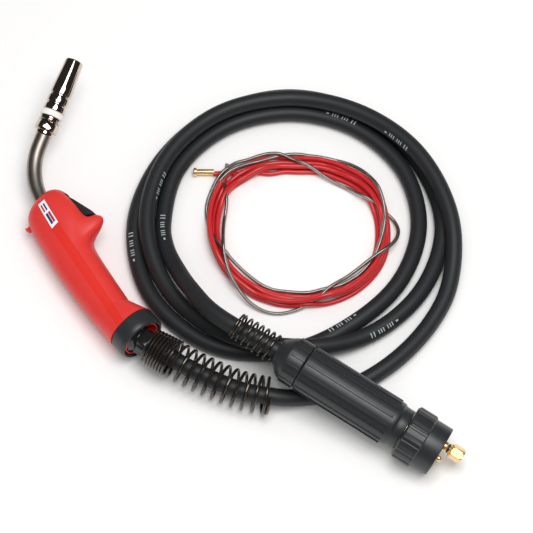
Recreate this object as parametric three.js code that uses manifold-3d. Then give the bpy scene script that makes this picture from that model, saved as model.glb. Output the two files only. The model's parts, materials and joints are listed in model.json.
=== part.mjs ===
// MIG welding torch with its three-metre cable, Euro plug and wire liner, lying coiled on a table.
// Millimetres, +Z up. The handpiece stands over the origin: its footprint is centred on it.
import * as THREE from 'three';
import { mergeVertices } from 'three/addons/utils/BufferGeometryUtils.js';
import Module from 'manifold-3d';

const wasm = await Module();
wasm.setup();

// ---------- Driving dimensions ----------
const GAP = 0.3;
const TABLE_SHIFT = [164.0, -48.2, 0];

// Handpiece: its own axes are X towards the trigger, Y towards the nozzle, Z across the shells.
const HAND_AT = [-175.5, -12.1, 20.5];
const HAND_YAW = 32.8;
const HAND_ROLL = 19;
const HAND_HALF = { width: 20.5, thickness: 19 };
const WALL = 2.6;
const NECK = { x: 6.3, bendAt: 77.5, bendRadius: 65, bend: 56, outer: 7.5 };
const RING = { at: [9, -81.7, 0], turn: 8, length: 17, outer: 23.5, bore: 19.2 };
const TRIGGER = { pivot: [25.2, 65.5], halfWidth: 7.4 };
const SCREWS = [[-11.5, 45], [-11.5, -18], [36, 27]];

// Front end, measured along the nozzle's axis from the end of the neck's bend.
const FRONT = { nut: 10, seat: 23.6, insulator: 28.6, nozzle: 34.9, tip: 89.7 };

// Cable and its coil. Radius and height of each turn are given every 30 degrees.
const CABLE_RADIUS = 8;
const COIL_CENTRE = [24, 40];
const COIL_RING = { inner: 117.5, outer: 160, low: 15, high: 32.5, highOuter: 139, highInner: 126 };
const CABLE_OUT = [
  [-112, -92, 26], [-97, -101, 25.4], [-73, -115, 22.5], [-48, -127, 20], [-23, -137, 18.8],
  [1, -142, 18], [26, -142, 13.5], [70, -132, 8.6], [114, -106, 8.4], [152, -65, 8.6], [172, -24, 12],
];
const CABLE_IN = [
  [-99, 40, 8.6], [-94.6, 12.2, 12.8], [-82, -18, 22.5], [-67.5, -47.5, 40], [-51, -71.4, 50],
  [-27, -91, 53.8],
];

// Plug: its own axes are Z from the cable to the front, X towards the main pin.
const PLUG_AT = [132.7, -186.3, 27.1];
const PLUG_HEADING = 31.27;
const PLUG_PITCH = 8.6;
const PLUG_ROLL = 21.7;
const PIN_OFFSET = 7;
const FLANGE_FACE = 23.4;
const CONTACTS = { x: -5.2, y: 5.5, radius: 2.1 };

// Wire liner lying inside the coil.
const LINER_CENTRE = [33.5, 40];
const LINER = { inner: 70, outer: 91, height: 10, sheath: 2.4 };

// ---------- Materials ----------
const finish = (color, roughness, metalness) => () =>
  new THREE.MeshStandardMaterial({ color, roughness, metalness });
const redPlastic = finish(0xe83c34, 0.42, 0);
const blackPlastic = finish(0x2c2f31, 0.55, 0);
const rubber = finish(0x303335, 0.6, 0);
const chrome = finish(0xd8d6d2, 0.12, 1);
const steel = finish(0x9c968e, 0.35, 1);
const springSteel = finish(0x3a3a3a, 0.4, 0.8);
const brass = finish(0xd9a34e, 0.25, 1);
const copper = finish(0xb87345, 0.3, 1);
const ceramic = finish(0xf4f2ec, 0.5, 0);
const redSheath = finish(0xcf2a2c, 0.4, 0);

// ---------- Geometry helpers ----------
const rad = THREE.MathUtils.degToRad;
const vec = (p) => new THREE.Vector3(...p);

/** A closed manifold solid from a three.js geometry, moved by an optional matrix. */
function solid(geometry, matrix) {
  const g = geometry.clone();
  g.deleteAttribute('normal');
  g.deleteAttribute('uv');
  if (matrix) g.applyMatrix4(matrix);
  const merged = mergeVertices(g, 1e-4);
  const mesh = new wasm.Mesh({
    numProp: 3,
    vertProperties: new Float32Array(merged.attributes.position.array),
    triVerts: new Uint32Array(merged.index.array),
  });
  return new wasm.Manifold(mesh);
}

/** A three.js geometry from a manifold solid. */
function geometryOf(manifold) {
  const mesh = manifold.getMesh();
  const g = new THREE.BufferGeometry();
  g.setAttribute('position', new THREE.BufferAttribute(mesh.vertProperties, 3));
  g.setIndex(new THREE.BufferAttribute(mesh.triVerts, 1));
  g.computeVertexNormals();
  return g;
}

/** A turned piece about Z: the profile is a closed loop of [radius, z], or starts and ends on the axis. */
function turned(profile, segments = 24) {
  const points = profile.map(([r, z]) => new THREE.Vector2(r, z));
  const onAxis = profile[0][0] === 0 && profile.at(-1)[0] === 0;
  if (!onAxis) points.push(points[0].clone());
  return new THREE.LatheGeometry(points, segments).rotateX(Math.PI / 2);
}

const rod = (radius, z0, z1, segments = 20) =>
  turned([[0, z0], [radius, z0], [radius, z1], [0, z1]], segments);
const sleeve = (inner, outer, z0, z1, segments = 24) =>
  turned([[inner, z0], [outer, z0], [outer, z1], [inner, z1]], segments);

const outline = (points) => new THREE.Shape(points.map((p) => new THREE.Vector2(...p)));

/** A regular outline with the given number of sides and half width across its corners. */
function polygon(sides, radius, hole = 0) {
  const shape = new THREE.Shape();
  for (let i = 0; i < sides; i += 1) {
    const a = (i / sides) * 2 * Math.PI;
    shape[i ? 'lineTo' : 'moveTo'](radius * Math.cos(a), radius * Math.sin(a));
  }
  if (hole) shape.holes.push(new THREE.Path().absarc(0, 0, hole, 0, 2 * Math.PI, true));
  return shape;
}

/** A grip band about Z: flat lobes round it, with a shallow groove between each two. */
function gripBand(lobes, radius, depth, hole, z0, z1) {
  const shape = new THREE.Shape();
  for (let i = 0; i < lobes; i += 1) {
    [[-0.38, 0], [0.38, 0], [0.44, depth], [0.56, depth]].forEach(([step, drop], j) => {
      const a = ((i + step) / lobes) * 2 * Math.PI;
      const r = radius - drop;
      shape[i || j ? 'lineTo' : 'moveTo'](r * Math.cos(a), r * Math.sin(a));
    });
  }
  if (hole) shape.holes.push(new THREE.Path().absarc(0, 0, hole, 0, 2 * Math.PI, true));
  const g = new THREE.ExtrudeGeometry(shape, { depth: z1 - z0, bevelEnabled: false, curveSegments: 12 });
  return g.translate(0, 0, z0);
}

/** A straight bar of the given outline, along Z. */
function prism(shape, z0, z1) {
  const options = { depth: z1 - z0, bevelEnabled: false, curveSegments: 8 };
  return new THREE.ExtrudeGeometry(shape, options).translate(0, 0, z0);
}

/** A round bar or tube along a curve. */
function piped(curve, steps, outer, inner = 0, sides = 10) {
  const shape = polygon(sides, outer);
  if (inner) {
    const hole = new THREE.Path();
    polygon(sides, inner).getPoints().reverse().forEach((p, i) => hole[i ? 'lineTo' : 'moveTo'](p.x, p.y));
    shape.holes.push(hole);
  }
  return new THREE.ExtrudeGeometry(shape, { steps, bevelEnabled: false, extrudePath: curve });
}

const through = (points) => new THREE.CatmullRomCurve3(points, false, 'centripetal');

const towards = (direction) =>
  new THREE.Quaternion().setFromUnitVectors(new THREE.Vector3(0, 0, 1), vec(direction).normalize());

function part(parent, name, geometry, material, position = [0, 0, 0], direction) {
  const mesh = new THREE.Mesh(geometry, material());
  mesh.name = name;
  mesh.position.set(...position);
  if (direction) mesh.quaternion.copy(towards(direction));
  parent.add(mesh);
  return mesh;
}

function frameMatrix(position, direction) {
  const turn = towards(direction);
  return new THREE.Matrix4().compose(vec(position), turn, new THREE.Vector3(1, 1, 1));
}

// ---------- Scene graph ----------
const torch = new THREE.Group();
torch.position.set(...TABLE_SHIFT);

const handpiece = new THREE.Group();
handpiece.position.set(...HAND_AT);
handpiece.rotation.set(0, rad(-HAND_ROLL), rad(HAND_YAW), 'ZYX');
handpiece.updateMatrix();
torch.add(handpiece);

const plug = new THREE.Group();
const plugAxis = new THREE.Vector3(
  Math.cos(rad(PLUG_HEADING)) * Math.cos(rad(PLUG_PITCH)),
  -Math.sin(rad(PLUG_HEADING)) * Math.cos(rad(PLUG_PITCH)),
  -Math.sin(rad(PLUG_PITCH)),
);
const plugLevel = new THREE.Vector3(Math.sin(rad(PLUG_HEADING)), Math.cos(rad(PLUG_HEADING)), 0);
const plugUp = plugAxis.clone().cross(plugLevel);
const plugX = plugLevel.clone().multiplyScalar(Math.cos(rad(PLUG_ROLL)))
  .addScaledVector(plugUp, Math.sin(rad(PLUG_ROLL)));
plug.position.set(...PLUG_AT);
plug.setRotationFromMatrix(new THREE.Matrix4().makeBasis(plugX, plugAxis.clone().cross(plugX), plugAxis));
plug.updateMatrix();
torch.add(plug);

// ---------- Handle shells ----------
const ringAxis = [Math.sin(rad(RING.turn)), -Math.cos(rad(RING.turn)), 0];
const ringFrame = frameMatrix(RING.at, ringAxis);
const pivotPlace = new THREE.Matrix4().makeTranslation(...TRIGGER.pivot, 0);

/** The side view of the handle, with the finger guard and the trigger's recess. */
function handleOutline() {
  const s = new THREE.Shape();
  s.moveTo(-14.1, -84.9);
  s.quadraticCurveTo(-24, -15, -18.5, 58);
  s.quadraticCurveTo(-17, 80, 2, 84.5);
  s.quadraticCurveTo(25, 87, 30, 63);
  s.quadraticCurveTo(30, 42, 37, 34.5);
  s.lineTo(42, 33);
  s.quadraticCurveTo(47, 27, 42, 21.5);
  s.quadraticCurveTo(38, 18.5, 30, 16);
  s.quadraticCurveTo(22.5, 13, 21.5, -2);
  s.lineTo(20.8, -58);
  s.quadraticCurveTo(23, -68, 32.1, -78.5);
  return s;
}

/** A plain outline that rounds the front of the handle across its thickness. */
function frontOutline(inset) {
  const s = new THREE.Shape();
  s.moveTo(-26, -90);
  s.lineTo(-26, 52);
  s.quadraticCurveTo(-18 + inset, 82 - inset, 4, 84.5 - inset);
  s.quadraticCurveTo(25 - inset, 86 - inset, 31 - inset, 60);
  s.lineTo(36, -90);
  return s;
}

/** The rounded bar of the handle, swept along its gently curved middle line. */
function handleBar(shrink) {
  const section = new THREE.Shape();
  const sides = 20;
  for (let i = 0; i < sides; i += 1) {
    const a = (i / sides) * 2 * Math.PI;
    const squarish = (t) => Math.sign(t) * Math.abs(t) ** 0.8;
    const x = (HAND_HALF.thickness - shrink) * squarish(Math.cos(a));
    const y = (HAND_HALF.width - shrink) * squarish(Math.sin(a));
    section[i ? 'lineTo' : 'moveTo'](x, y);
  }
  const middle = [[2.5, -75, 0], [0.7, -30, 0], [0.5, 0, 0], [2.5, 30, 0], [6, 62, 0], [7, 92, 0]];
  const line = through(middle.map(vec));
  const bar = solid(new THREE.ExtrudeGeometry(section, { steps: 7, bevelEnabled: false, extrudePath: line }));
  const depth = 2 * (HAND_HALF.thickness - shrink) - 12;
  const slab = new THREE.ExtrudeGeometry(frontOutline(shrink), {
    depth, bevelThickness: 6, bevelSize: 6, bevelOffset: -6, bevelSegments: 2, curveSegments: 6,
  }).translate(0, 0, -depth / 2);
  return bar.intersect(solid(slab));
}

/** The outside of the handle, closed and solid. */
function handleOutside() {
  const plate = new THREE.ExtrudeGeometry(handleOutline(), {
    depth: 17, bevelThickness: 3, bevelSize: 3, bevelOffset: -3, bevelSegments: 1, curveSegments: 6,
  }).translate(0, 0, -8.5);
  const flare = turned([[0, -24], [18.4, -24], [19.6, -12], [21.4, -5], [23.2, -GAP], [0, -GAP]], 24);
  const spigot = turned([[0, -6], [18.8, -6], [18.8, 12], [0, 12]], 24);
  return handleBar(0).add(solid(plate)).add(solid(flare, ringFrame)).add(solid(spigot, ringFrame));
}

/** Everything that is hollow inside the handle. */
function handleInside() {
  const rearBore = rod(16.8, -24, 14, 24);
  const neckHole = rod(NECK.outer + 0.5, 0, 40, 20);
  const triggerSlot = outline([[13, 71.5], [27.5, 71.5], [33, 63], [47, 32.2], [13, 32.2]]);
  return handleBar(WALL)
    .subtract(solid(new THREE.BoxGeometry(80, 40, 60), new THREE.Matrix4().makeTranslation(0, -88, 0)))
    .add(solid(rearBore, ringFrame))
    .add(solid(neckHole, frameMatrix([NECK.x, 60, 0], [0, 1, 0])))
    .add(solid(prism(triggerSlot, -TRIGGER.halfWidth - 0.5, TRIGGER.halfWidth + 0.5)));
}

function handleShells() {
  const outside = handleOutside();
  const ringSpace = sleeve(RING.bore - 0.4, RING.outer + 12, -GAP, RING.length + 8, 24);
  let shell = outside.subtract(handleInside()).subtract(solid(ringSpace, ringFrame));
  for (const [x, y] of SCREWS) {
    const at = new THREE.Matrix4().makeTranslation(x, y, 0);
    shell = shell.add(solid(rod(3.4, -22, 22, 14), at).intersect(outside));
    shell = shell.subtract(solid(rod(1.7, -25, 8, 12), at)).subtract(solid(rod(3.5, -25, -13, 14), at));
  }
  shell = shell.subtract(solid(rod(1.9, -9.9, 9.9, 12), pivotPlace));
  const half = new THREE.BoxGeometry(120, 260, 60);
  const upper = shell.intersect(solid(half, new THREE.Matrix4().makeTranslation(0, 0, 30 + GAP / 2)));
  const lower = shell.intersect(solid(half, new THREE.Matrix4().makeTranslation(0, 0, -30 - GAP / 2)));
  return [upper, lower];
}

const [upperShell, lowerShell] = handleShells();
part(handpiece, 'handle_shell_upper', geometryOf(upperShell), redPlastic);
part(handpiece, 'handle_shell_lower', geometryOf(lowerShell), redPlastic);
SCREWS.forEach(([x, y], i) => {
  const screw = turned([[0, -15.6], [2.9, -15.6], [2.9, -13.3], [1.35, -13.3], [1.35, 7.5], [0, 7.5]], 14);
  part(handpiece, `handle_screw_${i + 1}`, screw, steel, [x, y, 0]);
});

// A short hook on the back of the handle, to hang the torch up by.
const hookShape = outline([
  [-18.6, 61.4], [-20.6, 61.2], [-22, 62.6], [-22, 66.4], [-20.7, 66.6], [-20.2, 64.2], [-18.1, 64.4],
]);
part(handpiece, 'hanging_hook', prism(hookShape, -3, 3), redPlastic);

// ---------- Trigger and switch ----------
const triggerShape = outline([
  [24, 69], [27, 69.2], [30.4, 64.6], [41.8, 34.4], [38.2, 34], [31, 37.5], [25.6, 47], [22.4, 58], [22, 65],
]);
const trigger = solid(prism(triggerShape, -TRIGGER.halfWidth, TRIGGER.halfWidth))
  .subtract(solid(rod(1.8, -9, 9, 12), pivotPlace));
part(handpiece, 'trigger', geometryOf(trigger), blackPlastic);
part(handpiece, 'trigger_pin', rod(1.5, -9.6, 9.6, 12), steel, [...TRIGGER.pivot, 0]);
const switchBox = solid(new THREE.BoxGeometry(5.6, 19, 9))
  .subtract(solid(rod(1.5, -0.8, 4, 12), frameMatrix([0, 1.5, 0], [1, 0, 0])));
part(handpiece, 'microswitch', geometryOf(switchBox), blackPlastic, [17.6, 45, 0]);
part(handpiece, 'switch_plunger', rod(1.2, 0, 5.6, 12), redPlastic, [19.4, 46.5, 0], [1, 0, 0]);

// ---------- Swan neck ----------
const bendEnd = [
  NECK.x + NECK.bendRadius * (1 - Math.cos(rad(NECK.bend))),
  NECK.bendAt + NECK.bendRadius * Math.sin(rad(NECK.bend)),
  0,
];
const noseAxis = [Math.sin(rad(NECK.bend)), Math.cos(rad(NECK.bend)), 0];

/** The neck's middle line: straight, one bend, straight. */
class NeckLine extends THREE.Curve {
  constructor(start, straight) {
    super();
    this.first = NECK.bendAt - start;
    this.arc = NECK.bendRadius * rad(NECK.bend);
    this.total = this.first + this.arc + straight;
  }

  getPoint(t) {
    const s = t * this.total;
    const beyond = s - this.first - this.arc;
    if (s <= this.first) return new THREE.Vector3(NECK.x, NECK.bendAt - this.first + s, 0);
    if (beyond >= 0) return vec(bendEnd).addScaledVector(vec(noseAxis), beyond);
    const a = (s - this.first) / NECK.bendRadius;
    return new THREE.Vector3(
      NECK.x + NECK.bendRadius * (1 - Math.cos(a)),
      NECK.bendAt + NECK.bendRadius * Math.sin(a),
      0,
    );
  }
}

part(handpiece, 'swan_neck', piped(new NeckLine(30, 9.6), 15, NECK.outer, 6.3, 14), steel);
part(handpiece, 'neck_insulation', piped(new NeckLine(24, 16), 12, 5.7, 4.7, 10), blackPlastic);
part(handpiece, 'neck_conductor', piped(new NeckLine(14, 28), 12, 4.1, 2.4, 8), copper);

// ---------- Front end: collar, insulator, nozzle and contact tip ----------
const nose = new THREE.Group();
nose.position.set(...bendEnd);
nose.quaternion.setFromUnitVectors(new THREE.Vector3(0, 0, 1), vec(noseAxis));
handpiece.add(nose);

const { nut, seat, insulator, nozzle, tip } = FRONT;
const nutTop = seat - GAP;
const nutCone = turned([
  [0, nut], [8.6, nut], [10.6, nut + 3.5], [11.1, nutTop - 5], [10.6, nutTop], [0, nutTop],
]);
const hexNut = solid(prism(polygon(6, 12.2), nut, nutTop)).intersect(solid(nutCone))
  .subtract(solid(rod(6.3, nut - 1, seat, 20)));
part(nose, 'neck_nut', geometryOf(hexNut), chrome);
part(nose, 'nozzle_seat', turned([
  [6.3, seat], [10.4, seat], [10.9, seat + 0.8], [10.9, insulator - GAP], [6.3, insulator - GAP],
]), chrome);
part(nose, 'nozzle_insulator', sleeve(6.6, 10.8, insulator, nozzle - GAP), ceramic);
part(nose, 'gas_nozzle', turned([
  [8.9, nozzle], [10.9, nozzle], [10.9, nozzle + 22], [10.4, nozzle + 30], [9.1, tip - 1.2], [8.7, tip],
  [7.6, tip], [7.6, tip - 16], [8.9, tip - 22],
], 24), chrome);
part(nose, 'gas_diffuser', turned([
  [4.6, 28.9], [6.2, 28.9], [6.2, 36], [7.4, 36], [7.4, 47], [4.6, 47],
], 16), brass);
part(nose, 'nozzle_spring', sleeve(7.75, 8.55, 37, 45, 14), springSteel);
part(nose, 'tip_holder', turned([
  [2.4, 43.5], [4.2, 43.5], [4.2, 47.4], [5.6, 47.4], [5.6, 60], [4.4, 62], [2.4, 62],
], 14), copper);
part(nose, 'contact_tip', turned([
  [0.7, 54], [2.1, 54], [2.1, 62.4], [4, 62.4], [4, 80], [2.9, 86.5], [0.7, 86.5],
], 16), copper);

// ---------- Rear ring and cable support ----------
part(handpiece, 'handle_ring', turned([
  [RING.bore, 0], [RING.outer - 0.6, 0], [RING.outer, 1], [RING.outer - 0.2, RING.length - 4],
  [RING.outer - 1.6, RING.length - 0.8], [RING.outer - 3, RING.length], [RING.bore - 0.4, RING.length - 1],
], 28), blackPlastic, RING.at, ringAxis);

// ---------- Cable ----------
const insideHandle = [[2, -48, 0], [3, -62, 0.4], [6, -77, 1], [9.2, -90, 1.1]]
  .map((p) => vec(p).applyMatrix4(handpiece.matrix));
const outPath = through([...insideHandle, ...CABLE_OUT.map(vec)]);
const onPlugAxis = (z) => vec([0, 0, z]).applyMatrix4(plug.matrix);
const inPath = through([...CABLE_IN.map(vec), ...[-160, -120, -90, -62].map(onPlugAxis)]);

const { inner, outer, low, high, highOuter, highInner } = COIL_RING;
const coilProfile = [
  [inner + 2, 0], [outer - 2, 0], [outer, 2], [outer, low],
  [highOuter, high], [highInner, high], [inner, low], [inner, 2],
];
const coilSpace = turned(coilProfile.map(([r, z]) => [r + (r > 130 ? 0.4 : -0.4), z ? z + 0.4 : -1]), 36);
const coilPlace = new THREE.Matrix4().makeTranslation(...COIL_CENTRE, 0);
const freeTube = (path, steps) => geometryOf(
  solid(piped(path, steps, CABLE_RADIUS, 0, 10)).subtract(solid(coilSpace, coilPlace)),
);
const SUPPORT_SHARE = 0.135;
const support = solid(turned([[10.2, -14], [11.4, -14], [13.6, -10.5], [13.6, -6], [11.6, -3], [10.2, -3]]))
  .add(solid(prism(polygon(6, 12.8), -4, 3.5)))
  .subtract(solid(rod(10.2, -20, 10, 20)));
part(torch, 'cable_support', geometryOf(support), blackPlastic,
  outPath.getPointAt(SUPPORT_SHARE).toArray(), outPath.getTangentAt(SUPPORT_SHARE).toArray());
part(torch, 'cable_coil', turned(coilProfile, 36), rubber, [...COIL_CENTRE, 0]);
part(torch, 'cable_handle_end', freeTube(outPath, 22), rubber);
part(torch, 'cable_plug_end', freeTube(inPath, 14), rubber);

/** Part of a curve between two shares of its length. */
function stretch(curve, from, to, count) {
  const points = [];
  for (let i = 0; i <= count; i += 1) points.push(curve.getPointAt(from + ((to - from) * i) / count));
  return through(points);
}
part(torch, 'handle_spring', piped(stretch(outPath, 0.158, 0.45, 8), 10, 17.5, 14.6, 12), springSteel);

// Terminal that joins the cable to the neck inside the handle.
const terminal = solid(rod(7.4, -32, 6, 20)).add(solid(prism(polygon(6, 8.6), -18, -6)))
  .subtract(solid(rod(4.6, -10, 10, 16)));
part(handpiece, 'cable_terminal', geometryOf(terminal), brass, [4.6, -13, 0], [0.085, 0.996, 0]);

// ---------- Plug ----------
part(plug, 'plug_spring', sleeve(11.3, 13.6, -188, -145.4, 20), springSteel);
const rearNut = solid(gripBand(14, 22.3, 1, 0, -132, -117.7))
  .add(solid(turned([[0, -145], [12.4, -145], [15.6, -141], [20.4, -134], [21, -131], [0, -131]])))
  .subtract(solid(rod(8.4, -150, -110, 20)));
part(plug, 'plug_rear_nut', geometryOf(rearNut), blackPlastic);
const housing = solid(turned([
  [14.5, -117.4], [21.2, -117.4], [22.2, -114], [22.2, -27], [21.2, -23], [19.6, -20], [19.4, -12.4],
  [16.4, -12.4], [16.4, -24], [18.8, -30], [18.8, -106], [14.5, -112],
], 24)).subtract(solid(rod(2.2, 0, 8, 12), frameMatrix([0, -22, -17], [0, 1, 0])));
part(plug, 'plug_housing', geometryOf(housing), blackPlastic);
part(plug, 'plug_terminal', turned([
  [0, -61], [7.6, -61], [7.6, -44], [5, -40], [5, -30.5], [0, -30.5],
]), brass);
const contactBore = CONTACTS.radius + GAP;
const contactHoles = [1, -1].map((side) => solid(
  turned([
    [0, 11.9], [contactBore, 11.9], [contactBore, 21],
    [3.1, 21], [3.1, FLANGE_FACE + 2], [0, FLANGE_FACE + 2],
  ], 14),
  new THREE.Matrix4().makeTranslation(CONTACTS.x, side * CONTACTS.y, 0),
));
const plugBody = solid(turned([
  [0, -30], [12, -30], [12, -24.5], [16, -24.5], [16, 8], [20.4, 8], [20.4, FLANGE_FACE], [0, FLANGE_FACE],
], 20)).subtract(contactHoles[0]).subtract(contactHoles[1]);
part(plug, 'plug_body', geometryOf(plugBody), brass);
part(plug, 'plug_screw', rod(1.8, 0, 3.5, 12), steel, [0, -19.9, -17], [0, 1, 0]);

const nutBand = solid(gripBand(12, 26.2, 1.1, 0, -11.4, 8.4))
  .intersect(solid(turned([[0, -11.4], [24.2, -11.4], [26.6, -9], [26.6, 6], [24.2, 8.4], [0, 8.4]], 28)));
const euroNut = nutBand.add(solid(rod(23.7, 7, 24.6, 28)))
  .subtract(solid(rod(21.4, 7.6, 30, 28)))
  .subtract(solid(rod(16.5, -15, 10, 20)));
part(plug, 'euro_nut', geometryOf(euroNut), blackPlastic);

part(plug, 'plug_pin', turned([
  [1.7, FLANGE_FACE + GAP], [5.1, FLANGE_FACE + GAP], [5.1, 26], [4.3, 26.6], [4.3, 28],
  [3.1, 28.8], [3.1, 31.5], [1.7, 31.5],
], 20), brass, [PIN_OFFSET, 0, 0]);
part(plug, 'pin_seal', sleeve(3.4, 4.4, 28.9, 30.2, 16), rubber, [PIN_OFFSET, 0, 0]);
const linerNut = solid(prism(polygon(6, 7), 30.6, 44.4))
  .intersect(solid(turned([[0, 30.6], [4.6, 30.6], [6.1, 33.4], [6.4, 39], [4.9, 44.4], [0, 44.4]], 20)))
  .subtract(solid(rod(3.5, 30, 40, 16)))
  .subtract(solid(rod(1.6, 38, 46, 12)));
part(plug, 'liner_nut', geometryOf(linerNut), brass, [PIN_OFFSET, 0, 0]);
[1, -1].forEach((side, i) => {
  const pin = turned([
    [0, 15.2], [CONTACTS.radius, 15.2], [CONTACTS.radius, 24.5],
    [2.7, 25.4], [2.7, 27.6], [1.6, 29.3], [0, 29.6],
  ], 14);
  part(plug, `contact_pin_${i + 1}`, pin, brass, [CONTACTS.x, side * CONTACTS.y, 0]);
});

// ---------- Wire liner ----------
const liner = new THREE.Group();
liner.position.set(...LINER_CENTRE, 0);
torch.add(liner);
const linerProfile = [
  [LINER.inner, 0], [LINER.outer, 0], [LINER.outer + 1, 3],
  [LINER.outer, LINER.height], [LINER.inner, LINER.height], [LINER.inner - 1, 3],
];
part(liner, 'liner_coil', turned(linerProfile, 30), redSheath);
part(liner, 'liner_spiral_coil', turned([
  [76, LINER.height + GAP], [88, LINER.height + GAP], [88, 14], [76, 14],
], 30), steel);
const linerSpace = turned(linerProfile.map(([r, z]) => [r + (r > 80 ? 0.4 : -0.4), z]), 30);
const leadLine = through([[-64, 58, 4.5], [-74, 61, 4.3], [-84.7, 62, 4.3]].map(vec));
const lead = solid(piped(leadLine, 4, LINER.sheath, 0, 8)).subtract(solid(linerSpace));
part(liner, 'liner_lead', geometryOf(lead), redSheath);
const collet = turned([[0, 0], [2.7, 0], [2.7, 15.6], [4.2, 15.6], [4.2, 19.5], [0, 19.5]], 16);
part(liner, 'liner_collet', collet, brass, [-85.2, 62, 4.3], [-1, 0, 0]);

export default torch;
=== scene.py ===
"""Looks of a MIG welding torch: moulded handle, swan neck, coiled cable, Euro plug and spare wire liner.

Metres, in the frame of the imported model. The handpiece and the plug each have axes of their own, taken from
the joints of the model, and their pieces are drawn in those axes before they are put in place.
"""
import json
import math

import bmesh
import bpy
from mathutils import Matrix, Vector
from mathutils.kdtree import KDTree


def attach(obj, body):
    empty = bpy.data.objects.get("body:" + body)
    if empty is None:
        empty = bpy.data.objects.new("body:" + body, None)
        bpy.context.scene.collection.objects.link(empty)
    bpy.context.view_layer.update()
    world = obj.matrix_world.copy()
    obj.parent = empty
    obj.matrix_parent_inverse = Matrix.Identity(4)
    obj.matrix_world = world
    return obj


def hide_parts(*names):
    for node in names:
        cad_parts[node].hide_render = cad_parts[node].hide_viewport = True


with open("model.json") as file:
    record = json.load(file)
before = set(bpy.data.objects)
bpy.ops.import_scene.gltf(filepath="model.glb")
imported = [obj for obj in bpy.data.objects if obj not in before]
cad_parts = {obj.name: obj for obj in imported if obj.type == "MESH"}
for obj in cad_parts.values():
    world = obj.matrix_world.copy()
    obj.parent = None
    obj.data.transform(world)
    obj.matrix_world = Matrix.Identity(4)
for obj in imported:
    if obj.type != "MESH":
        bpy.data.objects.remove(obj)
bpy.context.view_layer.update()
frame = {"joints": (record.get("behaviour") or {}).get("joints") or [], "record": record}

MM = 0.001
TABLE = Vector((0.1640, -0.0482, 0))
JOINTS = {joint["name"]: joint for joint in frame["joints"]}


# ---------- Frames taken from the joints ----------
def axes(origin, x, y, z):
    """The matrix that carries a piece drawn in its own axes to its place."""
    place = Matrix((x, y, z)).transposed().to_4x4()
    place.translation = origin
    return place


def joint_axis(name):
    return Vector(JOINTS[name]["axis"]).normalized()


def joint_point(name):
    return Vector(JOINTS[name]["pos_m"])


def beside(axis, towards):
    """The unit vector square to an axis, on the side of another vector."""
    return (towards - axis * towards.dot(axis)).normalized()


TRIGGER_PIVOT = Vector((25.2, 65.5, 0)) * MM
hand_x = -joint_axis("plunger_travel")
hand_z = -joint_axis("trigger_squeeze")
hand_y = hand_z.cross(hand_x)
HAND = axes(Vector(), hand_x, hand_y, hand_z)
HAND.translation = joint_point("trigger_squeeze") - HAND @ TRIGGER_PIVOT

NECK_X, BEND_START, BEND_RADIUS, BEND = 6.3 * MM, 77.5 * MM, 65 * MM, math.radians(56)
bend_end = HAND @ Vector((
    NECK_X + BEND_RADIUS * (1 - math.cos(BEND)), BEND_START + BEND_RADIUS * math.sin(BEND), 0,
))
nose_z = joint_axis("nozzle_pull")
nose_x = beside(nose_z, hand_z)
NOSE = axes(bend_end, nose_x, nose_z.cross(nose_x), nose_z)

ring_z = joint_axis("ring_turn")
ring_x = beside(ring_z, hand_x)
RING = axes(joint_point("ring_turn"), ring_x, ring_z.cross(ring_x), ring_z)

plug_z = joint_axis("euro_nut_turn")
plug_x = beside(plug_z, joint_point("liner_nut_turn") - joint_point("euro_nut_turn"))
PLUG = axes(joint_point("euro_nut_turn"), plug_x, plug_z.cross(plug_x), plug_z)


# ---------- Routes ----------
def smooth_line(points, per=16):
    """A smooth line through the points, with evenly shared speed between them."""
    ends = [points[0] * 2 - points[1], *points, points[-1] * 2 - points[-2]]
    line = []
    for a, b, c, d in zip(ends, ends[1:], ends[2:], ends[3:]):
        ta = (b - a).length ** 0.5
        tb = ta + (c - b).length ** 0.5
        tc = tb + (d - c).length ** 0.5
        for i in range(per):
            t = ta + (tb - ta) * i / per
            ab = a.lerp(b, t / ta)
            bc = b.lerp(c, (t - ta) / (tb - ta))
            cd = c.lerp(d, (t - tb) / (tc - tb))
            abc = ab.lerp(bc, t / tb)
            bcd = bc.lerp(cd, (t - ta) / (tc - ta))
            line.append(abc.lerp(bcd, (t - ta) / (tb - ta)))
    return [*line, points[-1].copy()]


def distances(line):
    """How far along the line each of its points is."""
    along = [0.0]
    for a, b in zip(line, line[1:]):
        along.append(along[-1] + (b - a).length)
    return along


def evenly(line, step):
    """The same line with points about one step apart."""
    along = distances(line)
    count = max(2, round(along[-1] / step))
    result, j = [], 0
    for i in range(count + 1):
        s = along[-1] * i / count
        while j < len(along) - 2 and along[j + 1] < s:
            j += 1
        share = (s - along[j]) / max(along[j + 1] - along[j], 1e-9)
        result.append(line[j].lerp(line[j + 1], min(share, 1)))
    return result


def frames_along(line):
    """Point, side, up and tangent at each point, turning as little as possible."""
    result = []
    up = Vector((0, 0, 1))
    for i, point in enumerate(line):
        ahead, behind = line[min(i + 1, len(line) - 1)], line[max(i - 1, 0)]
        tangent = (ahead - behind).normalized()
        up = beside(tangent, up)
        result.append((point, tangent.cross(up), up, tangent))
    return result


def in_frame(place, points):
    return [place @ (Vector(p) * MM) for p in points]


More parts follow.
